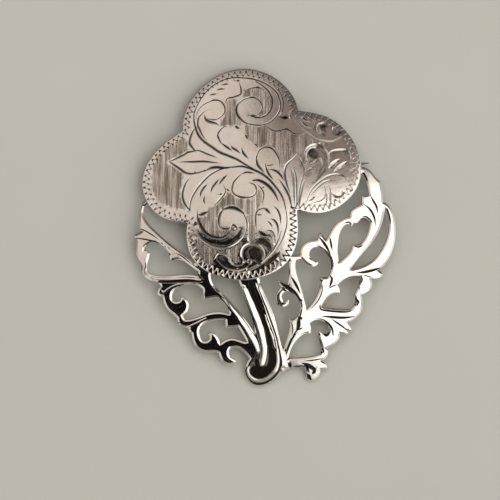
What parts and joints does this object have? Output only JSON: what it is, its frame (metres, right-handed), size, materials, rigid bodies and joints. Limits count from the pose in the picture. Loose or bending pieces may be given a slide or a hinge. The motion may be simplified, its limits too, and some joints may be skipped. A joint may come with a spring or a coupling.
{
  "type": "silver brooch",
  "caption": "Domed silver brooch: an engraved four-lobed plate over pierced leaf scrolls and a curled stalk, with a hinged-style pin and open catch behind.",
  "frame": {"origin": "middle of the plate's width and height, on the surface that the brooch lies on", "axes": "+Z out of the front, +Y towards the top lobe, +X to the right as seen from the front"},
  "size_m": [0.0478, 0.058, 0.0064],
  "materials": {
    "silver": "polished sterling silver, hand engraved, fine brushed grounds, dark tarnish in the cuts",
    "pin_silver": "drawn silver wire, lightly worn"
  },
  "bodies": {
    "root": {"plate": "silver", "pin_stem": "pin_silver"}
  },
  "joints": []
}
